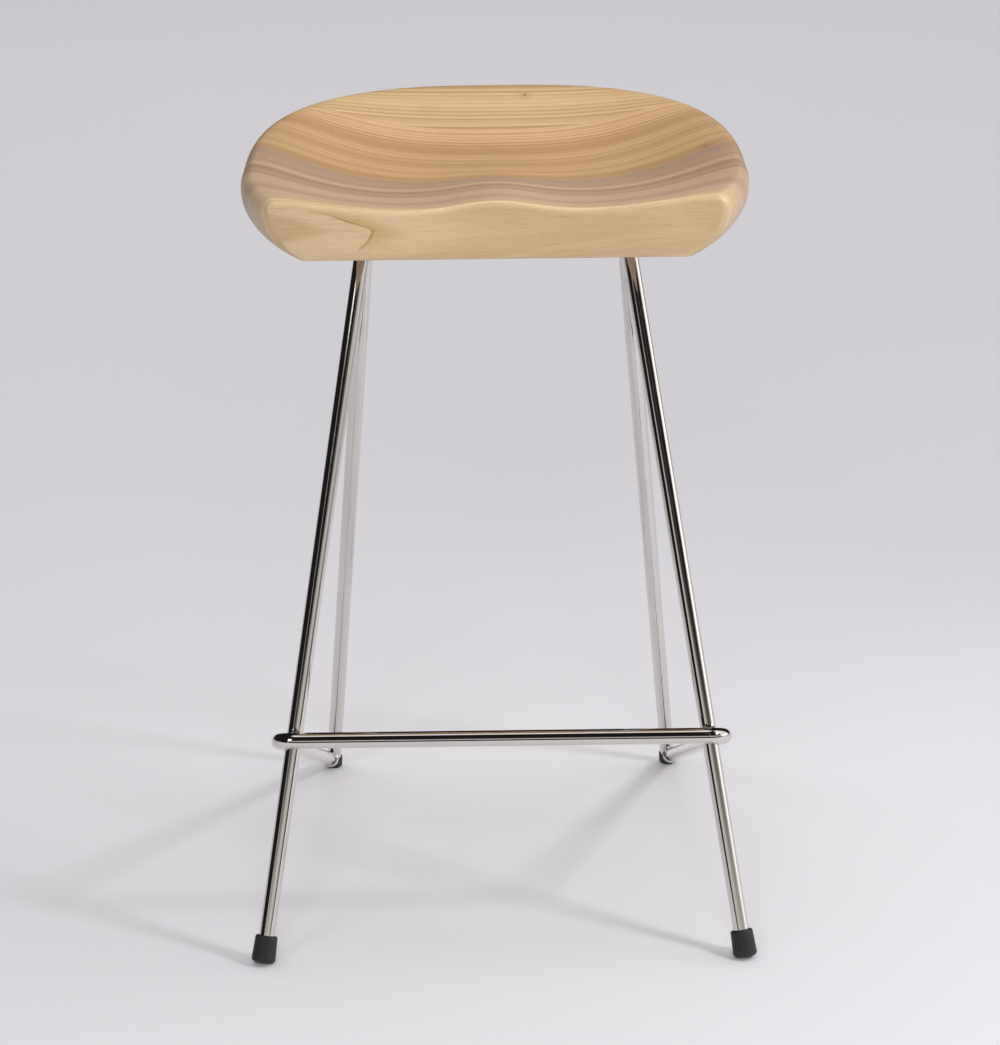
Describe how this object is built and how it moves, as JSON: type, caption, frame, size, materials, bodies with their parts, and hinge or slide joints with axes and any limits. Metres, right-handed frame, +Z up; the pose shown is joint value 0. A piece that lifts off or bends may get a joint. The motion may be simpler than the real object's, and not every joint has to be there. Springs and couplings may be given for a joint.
{
  "type": "counter stool",
  "caption": "Backless counter stool with a carved wooden saddle seat on a frame of bent chromed steel rod, with a wrap-around rod footrest and rubber foot caps",
  "frame": {"origin": "on the floor, midway between the front and rear feet and on the left-right centre plane", "axes": "+Z up, +Y to the back of the seat, +X to the right seen from the front"},
  "size_m": [0.428, 0.469, 0.678],
  "materials": {
    "seat_wood": "satin lacquer over ash-like wood",
    "rod_chrome": "polished chrome plate",
    "weld_chrome": "chrome plate over a smoothed weld",
    "plate_steel": "plated flat steel",
    "screw_steel": "zinc plated",
    "washer_steel": "plain",
    "cap_rubber": "matt"
  },
  "bodies": {
    "root": {"seat_stave_1": "seat_wood", "seat_stave_2": "seat_wood", "seat_stave_3": "seat_wood", "seat_stave_4": "seat_wood", "seat_stave_5": "seat_wood", "left_side_rod": "rod_chrome", "right_side_rod": "rod_chrome", "footrest_rod": "rod_chrome", "weld_front_left": "weld_chrome", "weld_rear_left": "weld_chrome", "weld_plate_left": "weld_chrome", "mounting_plate_left": "plate_steel", "screws_left": "screw_steel", "weld_front_right": "weld_chrome", "weld_rear_right": "weld_chrome", "weld_plate_right": "weld_chrome", "mounting_plate_right": "plate_steel", "screws_right": "screw_steel", "cap_front_left": "cap_rubber", "washer_front_left": "washer_steel", "cap_front_right": "cap_rubber", "washer_front_right": "washer_steel", "cap_rear_left": "cap_rubber", "washer_rear_left": "washer_steel", "cap_rear_right": "cap_rubber", "washer_rear_right": "washer_steel"}
  },
  "joints": []
}
